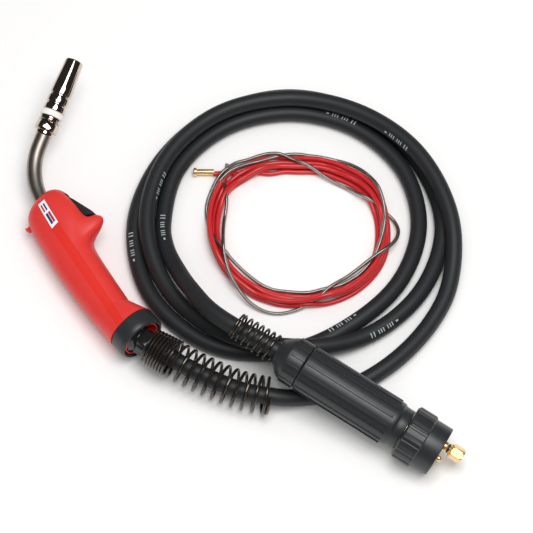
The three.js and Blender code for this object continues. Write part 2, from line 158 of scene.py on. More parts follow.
# ---------- Making pieces ----------
def finish_piece(name, bm, material, body, stands_for=(), sharp=32, inside_out=True):
    """Makes the piece's object, smooth between faces that meet at less than the sharp angle."""
    if inside_out:
        bmesh.ops.recalc_face_normals(bm, faces=bm.faces)
    mesh = bpy.data.meshes.new(name)
    bm.to_mesh(mesh)
    bm.free()
    mesh.shade_smooth()
    mesh.set_sharp_from_angle(angle=math.radians(sharp))
    for finish in material if isinstance(material, list) else [material]:
        mesh.materials.append(finish)
    piece = bpy.data.objects.new(name, mesh)
    bpy.context.scene.collection.objects.link(piece)
    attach(piece, body)
    if stands_for:
        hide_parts(*stands_for)
    return piece


def turn(profile, segments=72, rounding=0.4, closed=True):
    """A turned piece about Z. The profile is in millimetres, with its corners rounded."""
    bm = bmesh.new()
    verts = [bm.verts.new((r * MM, 0, z * MM)) for r, z in profile]
    pairs = list(zip(verts, verts[1:])) + ([(verts[-1], verts[0])] if closed else [])
    for pair in pairs:
        bm.edges.new(pair)
    corners = [v for v in verts if v.co.x > 1e-6]
    if rounding:
        bmesh.ops.bevel(
            bm, geom=corners, offset=rounding * MM, offset_type="OFFSET", segments=2, profile=0.5,
            affect="VERTICES", clamp_overlap=True, material=-1,
        )
    bmesh.ops.spin(
        bm, geom=bm.verts[:] + bm.edges[:], cent=(0, 0, 0), axis=(0, 0, 1), angle=2 * math.pi,
        steps=segments, use_merge=True,
    )
    bmesh.ops.remove_doubles(bm, verts=bm.verts, dist=1e-6)
    return bm


def extrude_outline(outline, low, high, bevel=0.0, segments=2):
    """A flat outline in millimetres made solid between two heights, with its edges rounded."""
    bm = bmesh.new()
    face = bm.faces.new([bm.verts.new((x * MM, y * MM, low * MM)) for x, y in outline])
    grown = bmesh.ops.extrude_face_region(bm, geom=[face])
    tops = [v for v in grown["geom"] if isinstance(v, bmesh.types.BMVert)]
    bmesh.ops.translate(bm, verts=tops, vec=(0, 0, (high - low) * MM))
    bmesh.ops.recalc_face_normals(bm, faces=bm.faces)
    if bevel:
        bmesh.ops.bevel(
            bm, geom=bm.edges[:], offset=bevel * MM, offset_type="OFFSET", segments=segments, profile=0.5,
            affect="EDGES", clamp_overlap=True, material=-1,
        )
    return bm


def tube(line, radius, sides, ripple=None):
    """A round tube along a line. Its UV map holds the distance along and the share of the way round."""
    bm = bmesh.new()
    uv = bm.loops.layers.uv.new("UVMap")
    steps = len(line) - 1
    bmesh.ops.create_grid(bm, x_segments=steps, y_segments=sides, size=0.5)
    along = distances(line)
    tracks = frames_along(line)
    for face in bm.faces:
        for loop in face.loops:
            co = loop.vert.co
            loop[uv].uv = (along[round((co.x + 0.5) * steps)], co.y + 0.5)
    for vert in bm.verts:
        i, share = round((vert.co.x + 0.5) * steps), vert.co.y + 0.5
        point, side, up, _ = tracks[i]
        angle = share * 2 * math.pi
        r = radius + (ripple(along[i], angle) if ripple else 0)
        vert.co = point + (side * math.cos(angle) + up * math.sin(angle)) * r
    bmesh.ops.remove_doubles(bm, verts=bm.verts, dist=1e-6)
    rims = [e for e in bm.edges if e.is_boundary]
    bmesh.ops.holes_fill(bm, edges=rims, sides=0)
    return bm


def join(*parts):
    """One bmesh holding them all."""
    whole = parts[0]
    for other in parts[1:]:
        scratch = bpy.data.meshes.new("scratch")
        other.to_mesh(scratch)
        other.free()
        whole.from_mesh(scratch)
        bpy.data.meshes.remove(scratch)
    return whole


def placed(bm, place):
    bmesh.ops.transform(bm, matrix=place, verts=bm.verts)
    return bm


def cut(name, piece, cutter, operation="DIFFERENCE"):
    """Cuts a bmesh out of a finished piece, or joins it on, and applies the result to the piece's mesh."""
    mesh = bpy.data.meshes.new(name)
    bmesh.ops.recalc_face_normals(cutter, faces=cutter.faces)
    cutter.to_mesh(mesh)
    cutter.free()
    tool = bpy.data.objects.new(name, mesh)
    bpy.context.scene.collection.objects.link(tool)
    modifier = piece.modifiers.new(name, "BOOLEAN")
    modifier.operation = operation
    modifier.solver = "EXACT"
    modifier.object = tool
    bpy.context.view_layer.update()
    result = bpy.data.meshes.new_from_object(piece.evaluated_get(bpy.context.evaluated_depsgraph_get()))
    piece.modifiers.remove(modifier)
    old = piece.data
    piece.data = result
    bpy.data.meshes.remove(old)
    bpy.data.objects.remove(tool)
    bpy.data.meshes.remove(mesh)
    result.name = piece.name


# ---------- Materials ----------
class Finish:
    """A material built from nodes, with one Principled shader."""

    def __init__(self, name, color, roughness, metallic=0.0, specular=0.5):
        self.material = bpy.data.materials.new(name)
        self.material.use_nodes = True
        self.material.diffuse_color = (*color, 1)
        self.tree = self.material.node_tree
        self.shader = self.tree.nodes["Principled BSDF"]
        self.color = color
        self.set("Base Color", (*color, 1))
        self.set("Roughness", roughness)
        self.set("Metallic", metallic)
        self.set("Specular IOR Level", specular)

    def set(self, socket, value):
        if isinstance(value, bpy.types.NodeSocket):
            self.tree.links.new(value, self.shader.inputs[socket])
        else:
            self.shader.inputs[socket].default_value = value

    def node(self, kind, inputs=None, **settings):
        node = self.tree.nodes.new(kind)
        for key, value in settings.items():
            setattr(node, key, value)
        for key, value in (inputs or {}).items():
            if isinstance(value, bpy.types.NodeSocket):
                self.tree.links.new(value, node.inputs[key])
            else:
                node.inputs[key].default_value = value
        return node

    def coordinates(self, kind="Object", scale=(1, 1, 1), turn_by=(0, 0, 0)):
        source = self.node("ShaderNodeTexCoord").outputs[kind]
        mapping = self.node("ShaderNodeMapping", {"Vector": source, "Scale": scale, "Rotation": turn_by})
        return mapping.outputs["Vector"]

    def noise(self, scale, detail=3.0, vector=None, roughness=0.5):
        vector = vector or self.coordinates()
        inputs = {"Vector": vector, "Scale": scale, "Detail": detail, "Roughness": roughness}
        return self.node("ShaderNodeTexNoise", inputs).outputs["Fac"]

    def spread(self, value, low, high, start=0.0, end=1.0):
        inputs = {"Value": value, "From Min": start, "From Max": end, "To Min": low, "To Max": high}
        return self.node("ShaderNodeMapRange", inputs).outputs["Result"]

    def mixed(self, factor, first, second):
        node = self.node("ShaderNodeMix", data_type="RGBA")
        for socket, value in ((node.inputs[0], factor), (node.inputs[6], first), (node.inputs[7], second)):
            if isinstance(value, bpy.types.NodeSocket):
                self.tree.links.new(value, socket)
            else:
                socket.default_value = value
        return node.outputs[2]

    def vary(self, scale, amount, vector=None):
        """Lightens and darkens the colour a little from place to place."""
        dark = (*[c * (1 - amount) for c in self.color], 1)
        light = (*[min(1, c * (1 + amount)) for c in self.color], 1)
        self.set("Base Color", self.mixed(self.noise(scale, vector=vector), dark, light))

    def bump(self, height, strength, distance):
        node = self.node("ShaderNodeBump", {"Height": height, "Strength": strength, "Distance": distance})
        self.set("Normal", node.outputs["Normal"])


def moulded(name, color, roughness, grain=2600.0, depth=0.12, specular=0.5):
    """Moulded plastic: a fine even grain, with slightly uneven gloss and colour."""
    finish = Finish(name, color, roughness, specular=specular)
    finish.vary(38, 0.07)
    finish.set("Roughness", finish.spread(finish.noise(160, 4), roughness - 0.06, roughness + 0.08))
    finish.bump(finish.noise(grain, 2), depth, 0.0002)
    return finish.material


def rubber_sheath():
    """Extruded cable sheath: matt, with faint lengthwise drag lines and specks of dust."""
    finish = Finish("cable_rubber", (0.020, 0.0215, 0.023), 0.5, specular=0.42)
    along = finish.coordinates("UV", scale=(6, 40, 1))
    lines = finish.noise(2.0, 3, along)
    specks = finish.spread(finish.noise(620, 1), 0, 1, 0.77, 0.80)
    base = finish.mixed(lines, (0.0135, 0.015, 0.0165, 1), (0.020, 0.022, 0.0235, 1))
    finish.set("Base Color", finish.mixed(specks, base, (0.09, 0.08, 0.07, 1)))
    finish.set("Roughness", finish.spread(lines, 0.42, 0.58))
    finish.bump(finish.noise(1500, 3), 0.18, 0.0002)
    return finish.material


def polished(name, color, roughness, smear=0.05):
    """Bright plated or turned metal, with a little unevenness in its shine."""
    finish = Finish(name, color, roughness, metallic=1.0)
    finish.vary(55, 0.05)
    finish.set("Roughness", finish.spread(finish.noise(120, 4), roughness, roughness + smear))
    finish.bump(finish.noise(900, 2), 0.012, 0.0001)
    return finish.material


def brushed_tube():
    """Drawn steel tube, with fine streaks along it and a warm stain here and there."""
    finish = Finish("neck_steel", (0.42, 0.37, 0.33), 0.42, metallic=1.0)
    streaks = finish.noise(1.0, 4, finish.coordinates("UV", scale=(24, 90, 1)))
    stains = finish.noise(70, 4)
    base = finish.mixed(finish.spread(stains, 0, 1, 0.35, 0.7), (0.38, 0.33, 0.29, 1), (0.48, 0.43, 0.39, 1))
    finish.set("Base Color", base)
    finish.set("Roughness", finish.spread(streaks, 0.36, 0.50))
    finish.bump(streaks, 0.12, 0.0001)
    return finish.material


def turned_brass(name, color):
    """Turned brass with fine tool marks round it."""
    finish = Finish(name, color, 0.26, metallic=0.8)
    marks = finish.noise(420, 3)
    finish.vary(90, 0.08)
    finish.set("Roughness", finish.spread(marks, 0.18, 0.32))
    finish.bump(marks, 0.05, 0.0001)
    return finish.material


def wound_wire():
    """Bare steel spiral of the liner: greasy grooves between bright wires."""
    finish = Finish("liner_wire", (0.46, 0.44, 0.40), 0.30, metallic=1.0)
    grime = finish.noise(300, 4)
    finish.set("Base Color", finish.mixed(grime, (0.34, 0.325, 0.30, 1), (0.62, 0.60, 0.55, 1)))
    finish.set("Roughness", finish.spread(grime, 0.24, 0.40))
    return finish.material


def spring_wire():
    """Blackened spring wire, shiny where the oil has kept it so."""
    finish = Finish("spring_wire", (0.011, 0.010, 0.009), 0.20, specular=1.0)
    finish.set("Specular Tint", (1, 0.86, 0.72, 1))
    wear = finish.noise(140, 5)
    finish.set("Base Color", finish.mixed(wear, (0.008, 0.0075, 0.007, 1), (0.018, 0.015, 0.013, 1)))
    finish.set("Roughness", finish.spread(finish.noise(60, 4), 0.16, 0.28))
    return finish.material


def sheath_red():
    """Smooth red coating of the liner, with the spiral just showing through."""
    finish = Finish("liner_red", (0.62, 0.022, 0.026), 0.3, specular=0.55)
    shades = (0.50, 0.012, 0.017, 1), (0.62, 0.026, 0.028, 1)
    finish.set("Base Color", finish.mixed(finish.noise(30, 3), *shades))
    finish.set("Roughness", finish.spread(finish.noise(90, 3), 0.24, 0.38))
    wave = finish.node("ShaderNodeTexWave", {
        "Vector": finish.coordinates("UV"), "Scale": 320.0, "Distortion": 0.2,
    }).outputs["Fac"]
    finish.bump(wave, 0.10, 0.0001)
    return finish.material


RED = moulded("handle_red", (0.700, 0.030, 0.024), 0.40)
RED_BAND = moulded("handle_band", (0.680, 0.022, 0.012), 0.55, grain=4200.0, depth=0.2, specular=0.25)
BLACK = moulded("moulded_black", (0.022, 0.025, 0.027), 0.36)
SATIN_BLACK = moulded("trigger_black", (0.018, 0.020, 0.022), 0.38)
GLOSS_BLACK = moulded("gland_black", (0.012, 0.012, 0.013), 0.16, depth=0.03, specular=0.6)
RUBBER = rubber_sheath()
CHROME = polished("nozzle_chrome", (0.64, 0.55, 0.48), 0.05)
STEEL = polished("bright_steel", (0.60, 0.58, 0.55), 0.22)
NECK_STEEL = brushed_tube()
SPRING = spring_wire()
BRASS = turned_brass("plug_brass", (0.90, 0.66, 0.36))
COPPER = turned_brass("tip_copper", (0.80, 0.42, 0.26))
WHITE = moulded("insulator_white", (0.86, 0.85, 0.80), 0.42, depth=0.05)
LINER_RED = sheath_red()
LINER_WIRE = wound_wire()
PRINT = moulded("print_grey", (0.36, 0.42, 0.42), 0.6, depth=0.05)
LABEL_WHITE = moulded("label_white", (0.80, 0.84, 0.87), 0.3, depth=0.02)
LABEL_BLUE = moulded("label_blue", (0.016, 0.030, 0.165), 0.3, depth=0.02)
LABEL_RED = moulded("label_red", (0.50, 0.012, 0.018), 0.3, depth=0.02)


# ---------- Camera ----------
def make_camera():
    """Looks down on the table from the near side."""
    distance, height_angle = 1.7, math.radians(62)
    place = TABLE + Vector((0, -math.cos(height_angle), math.sin(height_angle))) * distance
    data = bpy.data.cameras.new("camera")
    data.lens = 120.8
    data.sensor_width = 36
    camera = bpy.data.objects.new("camera", data)
    bpy.context.scene.collection.objects.link(camera)
    camera.location = place
    camera.rotation_euler = (TABLE - place).to_track_quat("-Z", "Y").to_euler()
    bpy.context.scene.camera = camera


make_camera()

# ---------- Cable ----------
CABLE_RADIUS = 8 * MM
COIL_CENTRE = TABLE + Vector((0.024, 0.040, 0))
INSIDE_HANDLE = [(2, -48, 0), (3, -62, 0.4), (6, -77, 1), (9.2, -90, 1.1)]
CABLE_OUT = [
    (-0.112, -0.092, 0.026), (-0.097, -0.101, 0.0254), (-0.073, -0.115, 0.0225), (-0.048, -0.127, 0.020),
    (-0.023, -0.137, 0.0188), (0.001, -0.142, 0.018), (0.026, -0.142, 0.0135), (0.070, -0.132, 0.0086),
    (0.114, -0.106, 0.0084), (0.152, -0.065, 0.0086), (0.172, -0.024, 0.012),
]
CABLE_IN = [
    (-0.099, 0.040, 0.0086), (-0.0946, 0.0122, 0.0128), (-0.082, -0.018, 0.0225),
    (-0.0675, -0.0475, 0.040), (-0.051, -0.0714, 0.050), (-0.027, -0.091, 0.0538),
]
PLUG_STATIONS = (-160, -120, -90, -62)
# The turns of the coil, every 30 degrees: the first lies on the other two.
TURN_RADII = [
    (151.2, 140.5, 135.5, 136, 137.5, 138, 138, 136.5, 136, 135.6, 136.2, 140.3),
    (144.6, 142.8, 144, 146.5, 145.3, 145.5, 150, 152.5, 146.5, 132, 118.5, 118),
    (121.7, 125.3, 126.8, 127.5, 128, 127),
]
TURN_HEIGHTS = [23, 27.5, 25.2, 22.4, 22.6, 22.6, 19.6, 15, 21.1, 23, 9.5]
FLOOR_HEIGHT = 8.2


def coil_points():
    points = []
    radii = [radius for row in TURN_RADII for radius in row]
    for i, radius in enumerate(radii):
        angle = math.radians(30 * i)
        height = TURN_HEIGHTS[i] if i < len(TURN_HEIGHTS) else FLOOR_HEIGHT
        spot = Vector((radius * math.cos(angle), radius * math.sin(angle), height))
        points.append(COIL_CENTRE + spot * MM)
    return points


def on_table(points):
    return [TABLE + Vector(p) for p in points]


handle_end = in_frame(HAND, INSIDE_HANDLE[1:])
plug_end = in_frame(PLUG, [(0, 0, z) for z in PLUG_STATIONS])
cable_line = evenly(
    smooth_line([*handle_end, *on_table(CABLE_OUT), *coil_points(), *on_table(CABLE_IN), *plug_end]), 4 * MM,
)
cable = finish_piece(
    "cable", tube(cable_line, CABLE_RADIUS, 28), RUBBER, "torch",
    ["cable_handle_end", "cable_coil", "cable_plug_end"],
)


# ---------- Springs over the cable ----------
def station_finder(line):
    """A function that gives the frame at any distance along a line."""
    along, tracks = distances(line), frames_along(line)

    def at(s):
        low, high = 0, len(along) - 1
        while high - low > 1:
            middle = (low + high) // 2
            low, high = (middle, high) if along[middle] <= s else (low, middle)
        i = low
        share = (s - along[i]) / (along[i + 1] - along[i])
        blended = [a.lerp(b, share) for a, b in zip(tracks[i], tracks[i + 1])]
        return blended[0], blended[1].normalized(), blended[2].normalized()

    return at


def winding(at, start, turns, per_turn=40):
    """A helix round a line. Each row of turns holds how many there are, their pitch and their radii."""
    points, s, angle = [], start, 0.0
    for count, pitch, first_radius, last_radius in turns:
        steps = round(count * per_turn)
        for i in range(steps):
            radius = first_radius + (last_radius - first_radius) * i / steps
            point, side, up = at(s)
            points.append(point + (side * math.cos(angle) + up * math.sin(angle)) * radius * MM)
            s += pitch * MM / per_turn
            angle += 2 * math.pi / per_turn
    return points


cable_at = station_finder(cable_line)

# Groups of plain bars printed on the cable: distance along it in metres, and degrees round it.
CABLE_MARKS = [(0.540, 154), (0.839, 156), (1.180, 57), (1.793, 71), (2.052, 120), (2.336, 86), (2.594, 92)]
# Each bar's start and end in millimetres, and its share of the group's height.
MARK_BARS = [
    (0, 1.1, 1), (3.2, 4.3, 1), (8.4, 9.4, 0.8), (11, 12, 0.8), (13.6, 14.6, 0.8), (18.4, 19.4, 0.8),
    (21, 22, 0.8), (23.6, 24.6, 0.8), (28, 30.6, 0.35),
]
MARK_HEIGHT = 5


def cable_bar(start, degrees, first, last, share):
    """One printed bar: a thin patch that follows the cable's surface."""
    bm = bmesh.new()
    bmesh.ops.create_grid(bm, x_segments=3, y_segments=6, size=0.5)
    for vert in bm.verts:
        point, side, up = cable_at(start + (first + (last - first) * (vert.co.x + 0.5)) * MM)
        angle = math.radians(degrees) + vert.co.y * share * MARK_HEIGHT * MM / CABLE_RADIUS
        outward = side * math.cos(angle) + up * math.sin(angle)
        vert.co = point + outward * (CABLE_RADIUS + 0.06 * MM)
        vert.normal = outward
    grown = bmesh.ops.extrude_face_region(bm, geom=bm.faces[:])
    for vert in [v for v in grown["geom"] if isinstance(v, bmesh.types.BMVert)]:
        vert.co.z -= 0.00025
    return bm


bars = [cable_bar(start, degrees, *bar) for start, degrees in CABLE_MARKS for bar in MARK_BARS]
finish_piece("cable_marks", join(*bars), PRINT, "torch")

WIRE_RADIUS = 1.5 * MM
support_start = 42 * MM
SPRING_TURNS = [
    (7.4, 3.15, 15.8, 17.2), (0.8, 6, 17.2, 16.8), (9.8, 8.9, 16.8, 16.6), (1.2, 3.1, 16.6, 16.2),
]
spring_line = winding(cable_at, support_start + 6 * MM, SPRING_TURNS)
finish_piece(
    "handle_spring_wire", tube(spring_line, WIRE_RADIUS, 10), SPRING, "torch",
    ["handle_spring"],
)
PLUG_TURNS = [(1.5, 2.6, 11.6, 11.8), (6.6, 5.9, 11.8, 12.9)]
plug_spring_at = station_finder(in_frame(PLUG, [(0, 0, z) for z in range(-194, -136, 2)]))
plug_spring_line = winding(plug_spring_at, 5 * MM, PLUG_TURNS)
finish_piece(
    "plug_spring_wire", tube(plug_spring_line, 1.05 * MM, 10), SPRING, "torch",
    ["plug_spring"],
)

support_point, support_side, support_up = cable_at(support_start)
support_axis = support_up.cross(support_side).normalized()
if support_axis.dot(ring_z) < 0:
    support_axis = -support_axis
SUPPORT = axes(support_point, support_side, support_axis.cross(support_side), support_axis)
gland = turn([
    (9, -22), (11.6, -20), (14.6, -16), (15.2, -12), (14.2, -8.6), (11.4, -6.4), (10.4, -5), (11.6, -3.6),
    (12.2, -2), (12.2, 26), (9, 26),
])
hexagon = extrude_outline(
    [(13.6 * math.cos(i * math.pi / 3), 13.6 * math.sin(i * math.pi / 3)) for i in range(6)], -4, 6.4, 0.5,
)
finish_piece(
    "cable_gland", placed(join(gland, hexagon), SUPPORT), GLOSS_BLACK, "torch",
    ["cable_support"],
)


# ---------- Handle ----------
# Rows from the ring to the front: left edge, right edge, half thickness and the finger guard's reach.
HANDLE_ROWS = [
    ((-14.1, -84.9), (32.1, -78.5), 22.75, 0), ((-14.6, -79.8), (29.9, -74.6), 22.2, 0),
    ((-15.5, -71.5), (26.5, -68.4), 20.9, 0), ((-16.3, -64), (22.6, -61.2), 19.95, 0),
    ((-16.7, -61), (21.2, -59.6), 19.7, 0), ((-17.1, -58), (20.9, -57), 19.5, 0),
    ((-17.6, -53.5), (20.9, -53), 19.35, 0), ((-18.3, -46), (20.9, -46), 19.25, 0),
    ((-19.3, -32), (20.9, -32), 19.2, 0),
    ((-20.4, -8), (21.2, -8), 19.2, 0), ((-20.6, 6), (21.9, 6), 19.2, 0),
    ((-20.5, 13), (22.8, 13), 19.2, 1.4), ((-20.4, 17), (23.7, 17), 19.2, 7),
    ((-20.3, 20), (24.7, 20), 19.2, 13.6), ((-20.2, 23.5), (26, 23.5), 19.2, 17.4),
    ((-20.1, 27), (27.4, 27), 19.2, 17.7), ((-20, 30), (28.6, 30), 19.2, 15.7),
    ((-19.9, 32.4), (29.6, 32.4), 19.2, 12.5), ((-19.8, 34.6), (30.5, 34.6), 19.2, 8.1),
    ((-19.7, 38), (31.7, 38), 19.2, 3.4), ((-19.5, 43), (32.7, 43), 19.2, 0.8),
    ((-19.1, 50), (33, 50), 19.1, 0), ((-18.5, 58), (32, 58), 18.8, 0),
    ((-17.1, 65), (30.8, 65.4), 18, 0), ((-14.8, 70.4), (29.2, 71.8), 16.6, 0),
    ((-10.8, 74.6), (26.4, 77), 14.3, 0), ((-6, 78), (22, 81), 10.9, 0),
    ((-0.4, 80.6), (16.8, 82.8), 6.6, 0), ((5, 82.2), (12, 83.4), 2.8, 0),
]
HANDLE_SIDES = 96
SQUARENESS = 0.86
GUARD_HALF_THICKNESS = 15.5 * MM


def handle_rows(per=6):
    """The rows of the handle with smooth ones put in between."""
    keys = [Vector((*left, 0)) for left, _, _, _ in HANDLE_ROWS]
    others = [Vector((*right, 0)) for _, right, _, _ in HANDLE_ROWS]
    sizes = [Vector((half, guard, 0)) for _, _, half, guard in HANDLE_ROWS]
    rows = []
    for i in range(len(keys) - 1):
        for j in range(per):
            t = j / per
            rows.append([between(values, i, t) for values in (keys, others, sizes)])
    rows.append([values[-1] for values in (keys, others, sizes)])
    return rows


def between(values, i, t):
    """A smooth value between two of a list, without overshooting where three are level."""
    a, b = values[max(i - 1, 0)], values[i]
    c, d = values[i + 1], values[min(i + 2, len(values) - 1)]
    slope_in, slope_out = (c - a) * 0.5, (d - b) * 0.5
    t2, t3 = t * t, t * t * t
    return (b * (2 * t3 - 3 * t2 + 1) + slope_in * (t3 - 2 * t2 + t)
            + c * (3 * t2 - 2 * t3) + slope_out * (t3 - t2))


def handle_section(left, right, size, angle):
    """A point of the handle's section: a squarish oval with the finger guard drawn out of its right side."""
    middle, across = (left + right) * 0.5, (right - left) * 0.5
    cos, sin = math.cos(angle), math.sin(angle)
    x = math.copysign(abs(cos) ** SQUARENESS, cos)
    z = math.copysign(abs(sin) ** SQUARENESS, sin) * size.x
    fall = max(0.0, 1 - (z * MM / GUARD_HALF_THICKNESS) ** 2) ** 2
    reach = size.y * fall if cos > 0 else 0.0
    point = middle + across * x + across.normalized() * reach
    return Vector((point.x, point.y, z)) * MM


def handle_body():
    """The whole handle as one closed form, in its own axes."""
    rows = handle_rows()
    bm = bmesh.new()
    bmesh.ops.create_grid(bm, x_segments=len(rows) - 1, y_segments=HANDLE_SIDES, size=0.5)
    for vert in bm.verts:
        row = rows[round((vert.co.x + 0.5) * (len(rows) - 1))]
        vert.co = handle_section(*row, (vert.co.y + 0.5) * 2 * math.pi)
    bmesh.ops.remove_doubles(bm, verts=bm.verts, dist=1e-6)
    bmesh.ops.holes_fill(bm, edges=[e for e in bm.edges if e.is_boundary], sides=0)
    bmesh.ops.recalc_face_normals(bm, faces=bm.faces)
    return bm


def cut_line(bm, start, end, drop=None):
    """Cuts the faces along a line in the handle's plan, and clears one side if asked."""
    start, end = Vector((*start, 0)) * MM, Vector((*end, 0)) * MM
    normal = (end - start).cross(Vector((0, 0, 1))).normalized()
    bmesh.ops.bisect_plane(
        bm, geom=bm.verts[:] + bm.edges[:] + bm.faces[:], plane_co=start, plane_no=normal,
        clear_outer=drop == "outer", clear_inner=drop == "inner",
    )


def inside_plan(point, corners):
    """Whether a point is inside a plan outline that runs anticlockwise."""
    for (ax, ay), (bx, by) in zip(corners, corners[1:] + corners[:1]):
        if (bx - ax) * (point.y / MM - ay) - (by - ay) * (point.x / MM - ax) < 0:
            return False
    return True


# The darker flat band along the top of the grip, anticlockwise from its left rear corner.
BAND = [(2.2, -86), (9.8, -86), (10.3, 42), (1.4, 40.2)]


def press_band(bm):
    """Sinks the band into the upper face and gives it the second material."""
    for start, end in zip(BAND, BAND[1:] + BAND[:1]):
        cut_line(bm, start, end)
    faces = [
        f for f in bm.faces
        if f.normal.z > 0.3 and inside_plan(f.calc_center_median(), BAND)
    ]
    for face in faces:
        face.material_index = 1
    bmesh.ops.inset_region(bm, faces=faces, thickness=0.00015, depth=-0.0003, use_even_offset=True)


# The handle's screws: place in plan, and the heights of the head and of the point.
SCREWS = [((-11.5, 45), -15.6, 7.5), ((-11.5, -18), -15.6, 7.5), ((34, 27), -6.4, 4)]


def handle_screw(number, x, y, low, high):
    """A cross-headed screw that comes up through the lower shell."""
    shank = turn([
        (0, low), (2.7, low), (3.5, low + 0.8), (3.5, low + 2.1), (1.5, low + 2.3), (1.5, high - 1),
        (0.5, high), (0, high),
    ], 40, 0.15, closed=False)
    screw = finish_piece(f"shell_screw_{number}", shank, STEEL, "torch", [f"handle_screw_{number}"])
    for across, along in ((2.1, 0.42), (0.42, 2.1)):
        bar = [(-across, -along), (across, -along), (across, along), (-across, along)]
        cut("recess", screw, extrude_outline(bar, low - 1, low + 1.4))
    screw.data.transform(HAND @ Matrix.Translation(Vector((x, y, 0)) * MM))


def handle_half(name, side, node):
    """One shell of the handle: the body cut at the parting plane, hollowed for the trigger and the neck."""
    bm = handle_body()
    if side > 0:
        press_band(bm)
    cuts = bmesh.ops.bisect_plane(
        bm, geom=bm.verts[:] + bm.edges[:] + bm.faces[:], plane_co=(0, 0, side * 0.0001),
        plane_no=(0, 0, -side), clear_outer=True,
    )["geom_cut"]
    bmesh.ops.holes_fill(bm, edges=[e for e in cuts if isinstance(e, bmesh.types.BMEdge)], sides=0)
    rim = [e for e in bm.edges if len(e.link_faces) == 2 and max(len(f.verts) for f in e.link_faces) > 40]
    rim = [e for e in rim if abs(e.verts[0].co.z) < 0.0002 and abs(e.verts[1].co.z) < 0.0002]
    bmesh.ops.bevel(
        bm, geom=rim, offset=0.0003, offset_type="OFFSET", segments=2, profile=0.5, affect="EDGES",
        clamp_overlap=True, material=-1,
    )
    shell = finish_piece(name, bm, [RED, RED_BAND], "torch", [node])
    slot_outline = [(13, 69.8), (27.5, 69.8), (36, 66), (50, 38), (50, 33), (42, 32.6), (13, 32.4)]
    cut("trigger_slot", shell, extrude_outline(slot_outline, -7.8, 7.8, 0.8))
    neck_hole = turn([(0, 0), (7.9, 0), (7.9, 40), (0, 40)], 48, 0, closed=False)
    cut("neck_hole", shell, placed(neck_hole, axes(
        Vector((NECK_X, 60 * MM, 0)), Vector((1, 0, 0)), Vector((0, 0, -1)), Vector((0, 1, 0)))))
    to_hand = HAND.inverted()
    rear_bore = turn([(0, -20), (16.8, -20), (16.8, 20), (0, 20)], 64, 0, closed=False)
    cut("rear_bore", shell, placed(rear_bore, to_hand @ RING))
    for (x, y), low, _ in SCREWS if side < 0 else []:
        counterbore = turn([(0, -30), (3.8, -30), (3.8, low + 2.4), (0, low + 2.4)], 40, 0, closed=False)
        cut("counterbore", shell, placed(counterbore, Matrix.Translation(Vector((x, y, 0)) * MM)))
    shell.data.transform(HAND)
    shell.data.shade_smooth()
    shell.data.set_sharp_from_angle(angle=math.radians(34))
    return shell


handle_half("handle_upper", 1, "handle_shell_upper")
handle_half("handle_lower", -1, "handle_shell_lower")
for number, ((x, y), low, high) in enumerate(SCREWS, 1):
    handle_screw(number, x, y, low, high)


def on_handle(name, corners, lift, material):
    """A thin patch that follows the top of the handle inside a four-cornered plan."""
    bm = handle_body()
    for start, end in zip(corners, corners[1:] + corners[:1]):
        cut_line(bm, start, end, "outer")
    low = [f for f in bm.faces if f.normal.z < 0.2]
    bmesh.ops.delete(bm, geom=low, context="FACES")
    for vert in bm.verts:
        vert.co += vert.normal * lift * MM
    grown = bmesh.ops.extrude_face_region(bm, geom=bm.faces[:])
    for vert in [v for v in grown["geom"] if isinstance(v, bmesh.types.BMVert)]:
        vert.co.z -= 0.0003
    return finish_piece(name, placed(bm, HAND), material, "torch")


LABEL = [Vector((1.6, 39.6)), Vector((10.9, 41.4)), Vector((11.6, 72.0)), Vector((2.9, 71.0))]


def label_patch(name, along, across, lift, material):
    """Part of the label between two shares of its length and two of its width."""
    def spot(u, v):
        near, far = LABEL[0].lerp(LABEL[1], v), LABEL[3].lerp(LABEL[2], v)
        return tuple(near.lerp(far, u))
    corners = [spot(along[0], across[0]), spot(along[0], across[1]), spot(along[1], across[1]),
               spot(along[1], across[0])]
    return on_handle(name, corners, lift, material)


label_patch("label_edge", (0, 1), (0, 1), 0.05, LABEL_RED)
label_patch("label_ground", (0.015, 0.985), (0.05, 0.95), 0.10, LABEL_WHITE)
label_patch("label_block_red", (0.12, 0.52), (0.56, 0.80), 0.15, LABEL_RED)
label_patch("label_block_blue", (0.12, 0.52), (0.24, 0.50), 0.15, LABEL_BLUE)
label_patch("label_line_red", (0.60, 0.88), (0.22, 0.40), 0.15, LABEL_RED)
label_patch("label_line_blue", (0.60, 0.88), (0.54, 0.72), 0.15, LABEL_BLUE)

hook = extrude_outline(
    [(-14.9, 61.6), (-20.4, 61.6), (-22, 62.8), (-22, 66.4), (-20.8, 66.9), (-20.2, 65.4), (-14.9, 66.8)],
    -3, 3, 0.6,
)
finish_piece("hanging_hook_piece", placed(hook, HAND), RED, "torch", ["hanging_hook"])

TRIGGER_OUTLINE = [
    (24, 68.2), (26.2, 68.8), (28.4, 67.4), (32.6, 58.6), (41.3, 35.6), (40.8, 34.2), (38.2, 33.9),
    (31, 37.5), (25.6, 47), (22.4, 58), (22, 65),
]
trigger = extrude_outline(TRIGGER_OUTLINE, -7.2, 7.2, 1.1, 3)
finish_piece("trigger_lever", placed(trigger, HAND), SATIN_BLACK, "trigger", ["trigger"])

ring = turn([
    (19.2, 0), (23.1, 0), (23.5, 1.4), (23.4, 12), (22.9, 15), (21.9, 16.7), (20.8, 17), (20, 16.2),
    (18.9, 13.4), (18.8, 9),
], 96, 0.6)
finish_piece("grip_ring", placed(ring, RING), BLACK, "ring", ["handle_ring"])
spigot = turn([(17.1, -6), (18.7, -6), (18.7, 14.6), (18.2, 15.2), (17.1, 15.2)], 72, 0.3)
finish_piece("handle_spigot", placed(spigot, RING), RED, "torch")


